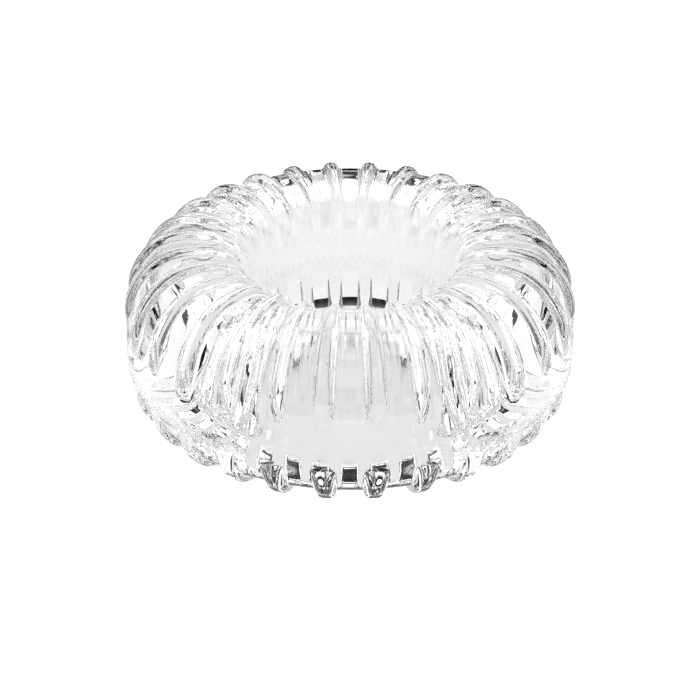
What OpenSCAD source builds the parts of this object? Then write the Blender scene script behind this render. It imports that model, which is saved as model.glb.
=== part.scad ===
// Ribbed glass ring insulator.
// A thick ring of clear pressed glass, made as an upper and a lower half that are fused together
// at the widest level. Ribs run over the crown and round the foot. The outer band between them and
// the wall of the hole are plain.
// Millimetres, +Z up, origin on the hole's axis at the level of the feet.

/* [Ring] */
// Diameter over the plain band, which is the widest place
ring_d = 100; // [90:1:110]
// Diameter of the hole at its short straight wall, where it is narrowest
hole_d = 42; // [40:1:44]
// Height of the valleys between the upper ribs, above the feet
crown_z = 39; // [37:0.5:41]
// Diameter of the circle along the top of the crown
crown_d = 69; // [67:1:71]
// Diameter of the circle that the feet stand on
foot_d = 72; // [70:1:73]
// Height of the plain band's widest line, where the halves meet
band_z = 15.75; // [15:0.25:17]
// Height of the middle of the hole's straight wall
throat_z = 8; // [7.5:0.25:9]
// Length of the hole's straight wall
throat_length = 4; // [3:0.5:5]

/* [Ribs] */
// Number of ribs on each half
rib_count = 28; // [24:2:32]
// Height of the upper ribs over their valleys
upper_rib_h = 1.5; // [1:0.1:1.8]
// Height of the lower ribs over their valleys
lower_rib_h = 2; // [1.6:0.1:2.4]
// Share of the pitch that a rib takes at its root
rib_root_share = 0.46; // [0.4:0.02:0.5]
// Share of the pitch that a rib takes at its crest
rib_crest_share = 0.27; // [0.2:0.01:0.34]

/* [Hidden] */

ring_r = ring_d / 2;
hole_r = hole_d / 2;
crown_r = crown_d / 2;
foot_r = foot_d / 2;
pitch = 360 / rib_count;

// The lower ribs are ground flat by this much, which leaves a small foot under each one
foot_grind = 0.1;
// Height of the valleys between the lower ribs
foot_z = lower_rib_h - foot_grind;

// How square each quarter of the section is: 2 is an ellipse, more is squarer, less is slanted
OUTER_TOP_POWER = 2.3;
INNER_TOP_POWER = 3.1;
INNER_FOOT_POWER = 3;
OUTER_FOOT_POWER = 2.3;
// Points on each quarter of the section
QUARTER_STEPS = 10;

// Heights at which an upper rib vanishes and is at full height, outside and in the hole
UPPER_OUTER_ENDS = [22.5, 29];
UPPER_INNER_ENDS = [32, 36.5];
// The same for a lower rib
LOWER_OUTER_ENDS = [12.5, 3.5];
LOWER_INNER_ENDS = [4.6, 2.6];
// A rib's shoulder and crest start blunt, at these shares of their height
SHOULDER_START = 0.2;
CREST_START = 0.5;
// How deep a shoulder's and a crest's root is sunk in the ring
SHOULDER_ROOT = 1.2;
CREST_ROOT = 0.7;
// Height of a rib's shoulder step as a share of its crest
SHOULDER_SHARE = 0.6;
// Larger than the ring in any direction
BEYOND = 200;

GLASS = [0.90, 0.95, 0.96, 0.55];
LOWER_GLASS = [0.82, 0.90, 0.94, 0.55];

// One quarter of a rounded section: t runs from 0 at its side to 90 at its top or bottom
function quarter(side, tip, power, t) = [
    tip[0] + (side[0] - tip[0]) * pow(cos(t), 2 / power),
    side[1] + (tip[1] - side[1]) * pow(sin(t), 2 / power)
];

band = [ring_r, band_z];
crown = [crown_r, crown_z];
foot = [foot_r, foot_z];
throat_top = [hole_r, throat_z + throat_length / 2];
throat_foot = [hole_r, throat_z - throat_length / 2];

// Angles of the points along a quarter, without its last one
rising = [for (i = [0 : QUARTER_STEPS - 1]) 90 * i / QUARTER_STEPS];
falling = [for (i = [0 : QUARTER_STEPS - 1]) 90 - 90 * i / QUARTER_STEPS];

// The section over the crown, from the band to the throat, and under the foot, back to the band
upper_line = concat(
    [for (t = rising) quarter(band, crown, OUTER_TOP_POWER, t)],
    [for (t = falling) quarter(throat_top, crown, INNER_TOP_POWER, t)],
    [throat_top]
);
lower_line = concat(
    [for (t = rising) quarter(throat_foot, foot, INNER_FOOT_POWER, t)],
    [for (t = falling) quarter(band, foot, OUTER_FOOT_POWER, t)],
    [band]
);

function unit(v) = v / norm(v);
function share(ends, z) = min(1, max(0, (z - ends[0]) / (ends[1] - ends[0])));

// A point of a line moved out of the glass by h, square to the line
function raised(line, i, h) =
    let (along = unit(line[i + 1] - line[i - 1]))
    line[i] + h * [along[1], -along[0]];

// The share of a rib's height at point i of a line, which fades at both ends of the rib
function fade(line, i, outer_ends, inner_ends, tip_r) =
    share(line[i][0] > tip_r ? outer_ends : inner_ends, line[i][1]);

// A rib's outline in the section's plane: its crest, and back along its sunk root, which
// reaches a point further at both ends so that the rib's ends slope
function rib_outline(line, h, start, root, outer_ends, inner_ends, tip_r) =
    let (
        on = [
            for (i = [2 : len(line) - 3])
                if (fade(line, i, outer_ends, inner_ends, tip_r) > start) i
        ],
        first = on[0] - 1,
        last = on[len(on) - 1] + 1
    )
    concat(
        [for (i = on) raised(line, i, h * fade(line, i, outer_ends, inner_ends, tip_r))],
        [for (i = [last : -1 : first]) raised(line, i, -root)]
    );

// A wedge of revolution, centred on the angle that a rib stands at
module rib_layer(outline, width) {
    for (k = [0 : rib_count - 1])
        rotate([0, 0, (k + 0.5) * pitch - 90 - width / 2])
            rotate_extrude(angle = width, $fn = 180)
                polygon(outline);
}

// A ring of ribs: a low wide shoulder with a narrower crest on it
module ribs(line, h, outer_ends, inner_ends, tip_r) {
    rib_layer(
        rib_outline(
            line, h * SHOULDER_SHARE, SHOULDER_START, SHOULDER_ROOT, outer_ends, inner_ends, tip_r
        ),
        pitch * rib_root_share
    );
    rib_layer(
        rib_outline(line, h, CREST_START, CREST_ROOT, outer_ends, inner_ends, tip_r),
        pitch * rib_crest_share
    );
}

// The plain ring between two heights
module plain_ring(from_z, to_z) {
    rotate_extrude($fn = 180)
        intersection() {
            polygon(concat(upper_line, lower_line));
            translate([0, from_z])
                square([BEYOND, to_z - from_z]);
        }
}

// Upper pressed half: the crown with its ribs, down to the fused seam
module upper_half() {
    color(GLASS)
        union() {
            plain_ring(band_z, BEYOND);
            ribs(upper_line, upper_rib_h, UPPER_OUTER_ENDS, UPPER_INNER_ENDS, crown_r);
        }
}

// Lower pressed half: from the fused seam down to the ribs, whose ground flats are the feet
module lower_half() {
    color(LOWER_GLASS)
        intersection() {
            union() {
                plain_ring(-BEYOND, band_z);
                ribs(lower_line, lower_rib_h, LOWER_OUTER_ENDS, LOWER_INNER_ENDS, foot_r);
            }
            translate([-BEYOND / 2, -BEYOND / 2, 0])
                cube([BEYOND, BEYOND, band_z]);
        }
}

upper_half();
lower_half();
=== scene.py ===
"""Looks for the ribbed glass ring: two fused halves of clear pressed glass on a lit white sweep."""

import math

import bpy
import numpy as np
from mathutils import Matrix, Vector


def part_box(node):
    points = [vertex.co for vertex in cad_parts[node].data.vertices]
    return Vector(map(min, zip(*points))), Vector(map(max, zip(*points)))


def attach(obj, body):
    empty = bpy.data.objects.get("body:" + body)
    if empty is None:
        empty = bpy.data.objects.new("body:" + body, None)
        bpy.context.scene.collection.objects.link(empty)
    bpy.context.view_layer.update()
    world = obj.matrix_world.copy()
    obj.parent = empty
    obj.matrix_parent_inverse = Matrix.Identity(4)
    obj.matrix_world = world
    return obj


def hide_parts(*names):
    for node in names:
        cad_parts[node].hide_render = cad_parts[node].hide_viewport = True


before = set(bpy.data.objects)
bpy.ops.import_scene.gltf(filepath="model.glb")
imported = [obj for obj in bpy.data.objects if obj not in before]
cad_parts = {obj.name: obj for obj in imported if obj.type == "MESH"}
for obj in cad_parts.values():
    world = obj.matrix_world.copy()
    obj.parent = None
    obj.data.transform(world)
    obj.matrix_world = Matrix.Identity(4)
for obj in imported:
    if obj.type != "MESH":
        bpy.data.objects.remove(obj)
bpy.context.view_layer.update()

MM = 0.001
TAU = 2 * math.pi

# ---- the section: heights come from the frame, the rest repeats the CAD's driving sizes ----
BAND_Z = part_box("lower_half")[1].z
TOP_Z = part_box("upper_half")[1].z
UPPER_RIB_H = 1.5 * MM
LOWER_RIB_H = 2.0 * MM
FOOT_GRIND = 0.1 * MM
BAND = (50.0 * MM, BAND_Z)
CROWN = (34.5 * MM, TOP_Z - UPPER_RIB_H)
FOOT = (36.0 * MM, LOWER_RIB_H - FOOT_GRIND)
THROAT_TOP = (21.0 * MM, 10.0 * MM)
THROAT_FOOT = (21.0 * MM, 6.0 * MM)
OUTER_TOP_POWER = 2.3
INNER_TOP_POWER = 3.1
INNER_FOOT_POWER = 3.0
OUTER_FOOT_POWER = 2.3
# points of the section nearer than this are one point
SAME_PLACE = 0.001 * MM

# ---- ribs ----
RIB_COUNT = 28
FIRST_RIB = -math.pi / 2 + TAU / RIB_COUNT / 2
UPPER_SHARE = 0.44
LOWER_SHARE = 0.46
# how square a rib's crest is across the rib
UPPER_CREST_POWER = 2.4
LOWER_CREST_POWER = 4.0
CREST_SOFTNESS = 0.9
# a rib's fillet: its height, and where it starts, is whole and ends, in half widths of the rib
FILLET_HEIGHT = 0.12
FILLET_RISE = (0.6, 0.9)
FILLET_RUN = (1.4, 0.8)
# heights at which a rib vanishes and is whole, on the outer wall and in the hole
UPPER_OUTER_ENDS = (20.5 * MM, 29.0 * MM)
UPPER_INNER_ENDS = (30.5 * MM, 36.5 * MM)
LOWER_OUTER_ENDS = (12.5 * MM, 3.5 * MM)
LOWER_INNER_ENDS = (4.6 * MM, 2.6 * MM)

# ---- unevenness: turns round the ring, radians per millimetre of height, phase ----
SLOW_WAVES = ((5, 0.21, 0.4), (9, -0.13, 2.1), (13, 0.34, 4.0))
SLOW_DEPTH = 0.012 * MM
MOTTLE_WAVES = ((61, 1.9, 0.3), (83, -2.6, 1.7), (47, 3.1, 4.4), (104, 1.2, 5.2))
MOTTLE_DEPTH = 0.03 * MM
# heights between which the mottled band fades in and out, and its fading towards the front and back
MOTTLE_FOOT = (BAND_Z - 4.5 * MM, BAND_Z - 3.0 * MM)
MOTTLE_TOP = (BAND_Z + 0.5 * MM, BAND_Z - 1.5 * MM)
MOTTLE_SIDES = (0.35, 0.75)

# ---- mesh density ----
# columns of a pitch that lie on the rib and its fillets, and in the plain valley
RIB_COLUMNS = 36
VALLEY_COLUMNS = 6
# share of the pitch, to each side of a rib's middle, that the rib's columns cover
RIB_REACH = 0.33
UPPER_ROWS = 120
LOWER_ROWS = 90


def smoothstep(ends, x):
    """0 at the first end and 1 at the second, with soft ends; the first may be the higher."""
    t = np.clip((x - ends[0]) / (ends[1] - ends[0]), 0, 1)
    return t * t * (3 - 2 * t)


def ramp(ends, x):
    """0 at the first end and 1 at the second, straight between them."""
    return np.clip((x - ends[0]) / (ends[1] - ends[0]), 0, 1)


def quarter(side, tip, power, steps=400):
    """Points of a rounded quarter of the section, from its side to its tip."""
    t = np.linspace(0, math.pi / 2, steps)
    r = tip[0] + (side[0] - tip[0]) * np.cos(t).clip(0) ** (2 / power)
    z = side[1] + (tip[1] - side[1]) * np.sin(t).clip(0) ** (2 / power)
    return np.column_stack([r, z])


def even_rows(line, rows):
    """The line resampled to evenly spaced rows."""
    step = np.hypot(*np.diff(line, axis=0).T)
    line = line[np.r_[True, step > 1e-9]]
    along = np.r_[0, np.cumsum(np.hypot(*np.diff(line, axis=0).T))]
    want = np.linspace(0, along[-1], rows)
    return np.column_stack([np.interp(want, along, line[:, k]) for k in (0, 1)])


def section_halves():
    """The upper line, from the band over the crown to the seam in the hole, and the lower line back."""
    outside_top = quarter(BAND, CROWN, OUTER_TOP_POWER)
    above_throat = quarter(THROAT_TOP, CROWN, INNER_TOP_POWER)[::-1]
    below_throat = quarter(THROAT_FOOT, FOOT, INNER_FOOT_POWER)
    hole = np.vstack([above_throat, below_throat])
    outside_foot = quarter(BAND, FOOT, OUTER_FOOT_POWER)[::-1]
    seam = np.array([[np.interp(-BAND_Z, -hole[:, 1], hole[:, 0]), BAND_Z]])
    upper = np.vstack([outside_top, hole[hole[:, 1] > BAND_Z + SAME_PLACE], seam])
    lower = np.vstack([seam, hole[hole[:, 1] < BAND_Z - SAME_PLACE], outside_foot])
    return even_rows(upper, UPPER_ROWS), even_rows(lower, LOWER_ROWS)


def rib_profile(share, power, across):
    """Height of a rib, 0 to 1, at places across its pitch, -0.5 to 0.5, with a fillet at its root."""
    t = np.abs(across) / (share / 2)
    crest = (1 - np.clip(t, 0, 1) ** power) ** CREST_SOFTNESS
    fillet = FILLET_HEIGHT * ramp(FILLET_RUN, t) ** 2 * smoothstep(FILLET_RISE, t)
    return (crest ** 3 + fillet ** 3) ** (1 / 3)


def column_angles():
    """Angles of the mesh's columns: close together over each rib and its fillets, and wide in the valleys."""
    on_rib = np.linspace(-RIB_REACH, RIB_REACH, RIB_COLUMNS)
    between = np.linspace(RIB_REACH, 1 - RIB_REACH, VALLEY_COLUMNS + 2)[1:-1]
    pitch = np.concatenate([on_rib, between])
    turns = (np.arange(RIB_COUNT)[:, None] + pitch[None, :]).ravel()
    return FIRST_RIB + turns * TAU / RIB_COUNT


def lift(r, z, theta):
    """How far the surface stands over the valleys at a place on the section."""
    place = (theta - FIRST_RIB) / (TAU / RIB_COUNT)
    across = place - np.round(place)
    outside_top = UPPER_RIB_H * smoothstep(UPPER_OUTER_ENDS, z)
    inside_top = UPPER_RIB_H * smoothstep(UPPER_INNER_ENDS, z)
    outside_foot = LOWER_RIB_H * ramp(LOWER_OUTER_ENDS, z)
    inside_foot = LOWER_RIB_H * smoothstep(LOWER_INNER_ENDS, z)
    upper = np.where(r > CROWN[0], outside_top, inside_top)
    lower = np.where(r > FOOT[0], outside_foot, inside_foot)
    upper_ribs = upper * rib_profile(UPPER_SHARE, UPPER_CREST_POWER, across)
    lower_ribs = lower * rib_profile(LOWER_SHARE, LOWER_CREST_POWER, across)
    return upper_ribs + lower_ribs


def ripple(r, z, theta):
    """The unevenness of pressed glass: slow waves all over, and a mottled band at the sides."""
    slow = np.zeros(np.broadcast(r, theta).shape)
    mottle = np.zeros_like(slow)
    height = z / MM
    bend = 1.5 * np.sin(7 * theta + 0.8 * height)
    for turns, climb, phase in SLOW_WAVES:
        slow += np.sin(turns * theta + climb * height + phase)
    for turns, climb, phase in MOTTLE_WAVES:
        mottle += np.sin(turns * theta + climb * height + phase + bend)
    below = smoothstep(MOTTLE_FOOT, z) * smoothstep(MOTTLE_TOP, z)
    beside = smoothstep(MOTTLE_SIDES, np.abs(np.cos(theta)))
    outside = r > CROWN[0]
    return SLOW_DEPTH * slow + MOTTLE_DEPTH * mottle * below * beside * outside


def glass_surface(line):
    """Grids of points and unit normals over the whole ring, a row for each point of the closed section."""
    along = np.roll(line, -1, 0) - np.roll(line, 1, 0)
    along /= np.hypot(along[:, 0], along[:, 1])[:, None]
    out_r, out_z = along[:, 1][:, None], -along[:, 0][:, None]
    theta = column_angles()[None, :]
    r, z = line[:, 0][:, None], line[:, 1][:, None]
    up = lift(r, z, theta) + ripple(r, z, theta)
    r = r + up * out_r
    z = np.maximum(z + up * out_z, 0.0)
    points = np.stack([r * np.cos(theta), r * np.sin(theta), z], axis=-1)
    down_rows = np.roll(points, -1, 0) - np.roll(points, 1, 0)
    round_ring = np.roll(points, -1, 1) - np.roll(points, 1, 1)
    normals = np.cross(round_ring, down_rows)
    normals /= np.linalg.norm(normals, axis=-1, keepdims=True)
    return points, normals


def build_half(name, node, points, normals, glass, seam_glass):
    """One half as a closed mesh: its outer skin, and the flat seam face where it is fused to the other."""
    rows, columns = points.shape[:2]
    index = np.arange(rows * columns).reshape(rows, columns)
    turned = np.roll(index, -1, axis=1)
    skin = np.stack([index[:-1], turned[:-1], turned[1:], index[1:]], axis=-1).reshape(-1, 4)
    seam = np.stack([index[-1], turned[-1], turned[0], index[0]], axis=-1).reshape(-1, 4)
    mesh = bpy.data.meshes.new(name)
    mesh.from_pydata(points.reshape(-1, 3).tolist(), [], np.vstack([skin, seam]).tolist())
    mesh.materials.append(glass)
    mesh.materials.append(seam_glass)
    faces = len(skin) + len(seam)
    mesh.polygons.foreach_set("use_smooth", np.ones(faces, bool))
    mesh.polygons.foreach_set("material_index", (np.arange(faces) >= len(skin)).astype(np.int32))
    mesh.update()
    mesh.normals_split_custom_set_from_vertices(normals.reshape(-1, 3).tolist())
    piece = bpy.data.objects.new(name, mesh)
    bpy.context.scene.collection.objects.link(piece)
    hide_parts(node)
    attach(piece, "root")
    return piece


# ---- materials ----


def new_material(name):
    material = bpy.data.materials.new(name)
    material.use_nodes = True
    tree = material.node_tree
    tree.nodes.clear()
    return material, tree


def link(tree, a, b):
    tree.links.new(a, b)


def noise(tree, where, scale, detail=2.0, distortion=0.0):
    node = tree.nodes.new("ShaderNodeTexNoise")
    node.inputs["Scale"].default_value = scale
    node.inputs["Detail"].default_value = detail
    node.inputs["Distortion"].default_value = distortion
    link(tree, where, node.inputs["Vector"])
    return node.outputs[0]


def remap(tree, value, from_ends, to_ends):
    node = tree.nodes.new("ShaderNodeMapRange")
    node.interpolation_type = "SMOOTHSTEP"
    for name, number in zip(("From Min", "From Max", "To Min", "To Max"), (*from_ends, *to_ends)):
        node.inputs[name].default_value = number
    link(tree, value, node.inputs["Value"])
    return node.outputs[0]


def times(tree, a, b):
    node = tree.nodes.new("ShaderNodeMath")
    node.operation = "MULTIPLY"
    link(tree, a, node.inputs[0])
    link(tree, b, node.inputs[1])
    return node.outputs[0]


def bump(tree, height, distance, strength, under=None):
    node = tree.nodes.new("ShaderNodeBump")
    node.inputs["Distance"].default_value = distance
    node.inputs["Strength"].default_value = strength
    link(tree, height, node.inputs["Height"])
    if under is not None:
        link(tree, under, node.inputs["Normal"])
    return node.outputs[0]


def pressed_glass():
    """Clear fire-polished glass with a faint ripple, a few chill marks and a mottled skin under the seam."""
    material, tree = new_material("clear_pressed_glass")
    out = tree.nodes.new("ShaderNodeOutputMaterial")
    glass = tree.nodes.new("ShaderNodeBsdfPrincipled")
    place = tree.nodes.new("ShaderNodeTexCoord").outputs["Object"]
    split = tree.nodes.new("ShaderNodeSeparateXYZ")
    link(tree, place, split.inputs[0])
    height = split.outputs["Z"]

    ripple_height = noise(tree, place, 130.0, detail=1.0, distortion=0.4)
    chill = remap(tree, noise(tree, place, 420.0, detail=2.0), (0.68, 0.80), (0.0, 1.0))
    low = remap(tree, height, MOTTLE_FOOT, (0.0, 1.0))
    high = remap(tree, height, (BAND_Z - 2.0 * MM, BAND_Z + 0.5 * MM), (1.0, 0.0))
    beside = tree.nodes.new("ShaderNodeMath")
    beside.operation = "ABSOLUTE"
    link(tree, split.outputs["X"], beside.inputs[0])
    side = remap(tree, beside.outputs[0], (18 * MM, 34 * MM), (0.0, 1.0))
    band = times(tree, times(tree, low, high), side)
    skin = times(tree, noise(tree, place, 900.0, detail=3.0, distortion=0.8), band)
    normal = bump(tree, ripple_height, 0.03 * MM, 0.5)
    normal = bump(tree, chill, 0.03 * MM, 0.6, normal)
    normal = bump(tree, skin, 0.35 * MM, 0.8, normal)
    link(tree, normal, glass.inputs["Normal"])

    haze = remap(tree, noise(tree, place, 260.0, detail=3.0), (0.35, 0.75), (0.0, 0.02))
    worn = tree.nodes.new("ShaderNodeMath")
    worn.operation = "MULTIPLY_ADD"
    link(tree, band, worn.inputs[0])
    worn.inputs[1].default_value = 0.05
    link(tree, haze, worn.inputs[2])
    link(tree, worn.outputs[0], glass.inputs["Roughness"])

    tint = tree.nodes.new("ShaderNodeValToRGB")
    tint.color_ramp.elements[0].color = (0.985, 0.985, 0.985, 1)
    tint.color_ramp.elements[1].color = (1, 1, 1, 1)
    link(tree, noise(tree, place, 45.0), tint.inputs[0])
    link(tree, tint.outputs[0], glass.inputs["Base Color"])
    glass.inputs["IOR"].default_value = 1.52
    glass.inputs["Transmission Weight"].default_value = 1.0
    link(tree, glass.outputs[0], out.inputs["Surface"])
    return material


def fused_seam():
    """The face inside the glass where the halves are fused: nothing shows there."""
    material, tree = new_material("fused_seam")
    out = tree.nodes.new("ShaderNodeOutputMaterial")
    clear = tree.nodes.new("ShaderNodeBsdfTransparent")
    link(tree, clear.outputs[0], out.inputs["Surface"])
    return material


def glow(name, strength):
    material, tree = new_material(name)
    out = tree.nodes.new("ShaderNodeOutputMaterial")
    light = tree.nodes.new("ShaderNodeEmission")
    light.inputs["Color"].default_value = (1, 1, 1, 1)
    light.inputs["Strength"].default_value = strength
    link(tree, light.outputs[0], out.inputs["Surface"])
    return material


TABLE_R = 0.2
# the paper's glow in its middle and at its rim, and radius and glow between them: a painted pool of light
# under the ring's foot and the ring's painted shadow just outside it
PAPER_MIDDLE = 0.65
PAPER_RIM = 0.65
PAPER_GLOW_AND_PAINTED_SHADING = ((0.020, 0.65), (0.030, 0.90), (0.040, 0.70), (0.058, 0.58), (0.085, 0.65))


def table_paper_painted_shading():
    """Matt white paper that glows by itself, with painted shading: most inside the ring's foot, a painted
    pool of light, and least just outside it, the ring's painted shadow.
    """
    material, tree = new_material("table_paper_painted_shading")
    out = tree.nodes.new("ShaderNodeOutputMaterial")
    paper = tree.nodes.new("ShaderNodeBsdfPrincipled")
    place = tree.nodes.new("ShaderNodeTexCoord").outputs["Object"]
    fibre = tree.nodes.new("ShaderNodeValToRGB")
    fibre.color_ramp.elements[0].color = (0.20, 0.20, 0.20, 1)
    fibre.color_ramp.elements[1].color = (0.24, 0.24, 0.24, 1)
    link(tree, noise(tree, place, 300.0, detail=4.0), fibre.inputs[0])
    link(tree, fibre.outputs[0], paper.inputs["Base Color"])
    reach = tree.nodes.new("ShaderNodeVectorMath")
    reach.operation = "LENGTH"
    link(tree, place, reach.inputs[0])
    across = tree.nodes.new("ShaderNodeMapRange")
    across.inputs["From Max"].default_value = TABLE_R
    link(tree, reach.outputs["Value"], across.inputs["Value"])
    # painted shading: the glow is raised under the ring's foot as painted light and lowered just outside it
    # as the ring's painted shadow
    shade = tree.nodes.new("ShaderNodeValToRGB")
    shade.color_ramp.elements[0].color = (PAPER_MIDDLE, PAPER_MIDDLE, PAPER_MIDDLE, 1)
    shade.color_ramp.elements[1].color = (PAPER_RIM, PAPER_RIM, PAPER_RIM, 1)
    for radius, level in PAPER_GLOW_AND_PAINTED_SHADING:
        stop = shade.color_ramp.elements.new(radius / TABLE_R)
        stop.color = (level, level, level, 1)
    link(tree, across.outputs[0], shade.inputs[0])
    link(tree, shade.outputs[0], paper.inputs["Emission Color"])
    paper.inputs["Emission Strength"].default_value = 1.0
    paper.inputs["Roughness"].default_value = 1.0
    paper.inputs["Specular IOR Level"].default_value = 0.0
    link(tree, paper.outputs[0], out.inputs["Surface"])
    return material


# ---- studio ----

ROOM_R = 6.0
# just under the feet, and just under the table
TABLE_Z = -0.2 * MM
FLOOR_Z = -1.2 * MM

# ---- camera ----
CAMERA_ELEVATION = math.radians(30.1)
CAMERA_DISTANCE = 510 * MM
LENS = 116.743
# the camera aims this far under the band's middle
AIM_DROP = 3.213 * MM


def stage_disc(name, radius, height, material, points=128):
    mesh = bpy.data.meshes.new(name)
    turns = [TAU * k / points for k in range(points)]
    rim = [(radius * math.cos(turn), radius * math.sin(turn), 0) for turn in turns]
    mesh.from_pydata(rim, [], [tuple(range(points))])
    mesh.materials.append(material)
    disc = bpy.data.objects.new(name, mesh)
    disc.location.z = height
    bpy.context.scene.collection.objects.link(disc)
    return disc


def add_table():
    """A small white table under the glass, and the pale floor and backdrop that only the camera sees."""
    table = stage_disc("floor_table", TABLE_R, TABLE_Z, table_paper_painted_shading())
    table.visible_camera = False
    paper = glow("pale_backdrop", 1.0)
    floor = stage_disc("floor_far", ROOM_R, FLOOR_Z, paper)
    mesh = bpy.data.meshes.new("backdrop")
    steps = 64
    ring = [(ROOM_R * math.cos(TAU * k / steps), ROOM_R * math.sin(TAU * k / steps)) for k in range(steps)]
    points = [(x, y, z) for z in (FLOOR_Z, ROOM_R) for x, y in ring]
    walls = [(k, (k + 1) % steps, steps + (k + 1) % steps, steps + k) for k in range(steps)]
    mesh.from_pydata(points, [], walls)
    mesh.materials.append(paper)
    wall = bpy.data.objects.new("backdrop", mesh)
    bpy.context.scene.collection.objects.link(wall)
    for piece in (floor, wall):
        piece.visible_diffuse = False
        piece.visible_glossy = False
        piece.visible_transmission = False
        piece.visible_shadow = False


def add_world():
    """A dark room with a pale ceiling."""
    world = bpy.data.worlds.new("studio")
    bpy.context.scene.world = world
    world.use_nodes = True
    tree = world.node_tree
    tree.nodes.clear()
    out = tree.nodes.new("ShaderNodeOutputWorld")
    back = tree.nodes.new("ShaderNodeBackground")
    where = tree.nodes.new("ShaderNodeTexCoord")
    split = tree.nodes.new("ShaderNodeSeparateXYZ")
    ramp = tree.nodes.new("ShaderNodeValToRGB")
    ramp.color_ramp.elements[0].position = 0.87
    ramp.color_ramp.elements[0].color = (0.01, 0.01, 0.01, 1)
    ramp.color_ramp.elements[1].position = 0.91
    ramp.color_ramp.elements[1].color = (1.05, 1.05, 1.05, 1)
    link(tree, where.outputs["Generated"], split.inputs[0])
    link(tree, split.outputs["Z"], ramp.inputs[0])
    link(tree, ramp.outputs[0], back.inputs["Color"])
    link(tree, back.outputs[0], out.inputs["Surface"])


def softbox(name, azimuth, elevation, width, height, radiance, distance=0.9):
    """A rectangular light that faces the ring; azimuth 0 is the camera's side and 90 is +X."""
    az, el = math.radians(azimuth), math.radians(elevation)
    way = Vector((math.sin(az) * math.cos(el), -math.cos(az) * math.cos(el), math.sin(el)))
    light = bpy.data.lights.new(name, "AREA")
    light.shape = "RECTANGLE"
    light.size = width
    light.size_y = height
    light.energy = radiance * math.pi * width * height
    lamp = bpy.data.objects.new(name, light)
    lamp.location = way * distance
    lamp.rotation_euler = way.to_track_quat("Z", "Y").to_euler()
    lamp.visible_camera = False
    bpy.context.scene.collection.objects.link(lamp)


def add_camera():
    """About 30 degrees above the floor, in front of a valley, on a long lens."""
    centre = Vector((0, 0, BAND_Z))
    away = Vector((0, -math.cos(CAMERA_ELEVATION), math.sin(CAMERA_ELEVATION)))
    up = Vector((0, math.sin(CAMERA_ELEVATION), math.cos(CAMERA_ELEVATION)))
    camera = bpy.data.cameras.new("camera")
    camera.sensor_width = 36
    camera.lens = LENS
    holder = bpy.data.objects.new("camera", camera)
    holder.location = centre + away * CAMERA_DISTANCE
    aim = centre - up * AIM_DROP
    holder.rotation_euler = (aim - holder.location).to_track_quat("-Z", "Y").to_euler()
    bpy.context.scene.collection.objects.link(holder)
    bpy.context.scene.camera = holder


def set_tone():
    """A little contrast, enough bounces for glass, and no focused light on the table."""
    scene = bpy.context.scene
    scene.view_settings.view_transform = "Standard"
    scene.view_settings.exposure = 0.3
    scene.view_settings.gamma = 0.7
    scene.cycles.caustics_refractive = False
    scene.cycles.max_bounces = 24
    scene.cycles.transmission_bounces = 24
    scene.cycles.glossy_bounces = 12


add_camera()
set_tone()
add_world()
add_table()
softbox("back", 180, 46, 0.82, 0.45, 1.15)
for side, word in ((-1, "left"), (1, "right")):
    softbox(word + "_side", 95 * side, 38, 1.0, 0.46, 1.2)
    softbox(word + "_back", 138 * side, 30, 0.55, 0.33, 0.8)
    softbox(word + "_front", 58 * side, 25, 0.5, 0.45, 0.65)
softbox("front", 0, 35, 0.6, 0.4, 0.5)

glass = pressed_glass()
seam = fused_seam()
upper_line, lower_line = section_halves()
points, normals = glass_surface(np.vstack([upper_line, lower_line[1:-1]]))
top_rows = np.arange(UPPER_ROWS)
foot_rows = np.r_[np.arange(UPPER_ROWS - 1, UPPER_ROWS + LOWER_ROWS - 2), 0]
for word, rows in (("upper", top_rows), ("lower", foot_rows)):
    build_half(f"{word}_glass_half", f"{word}_half", points[rows], normals[rows], glass, seam)
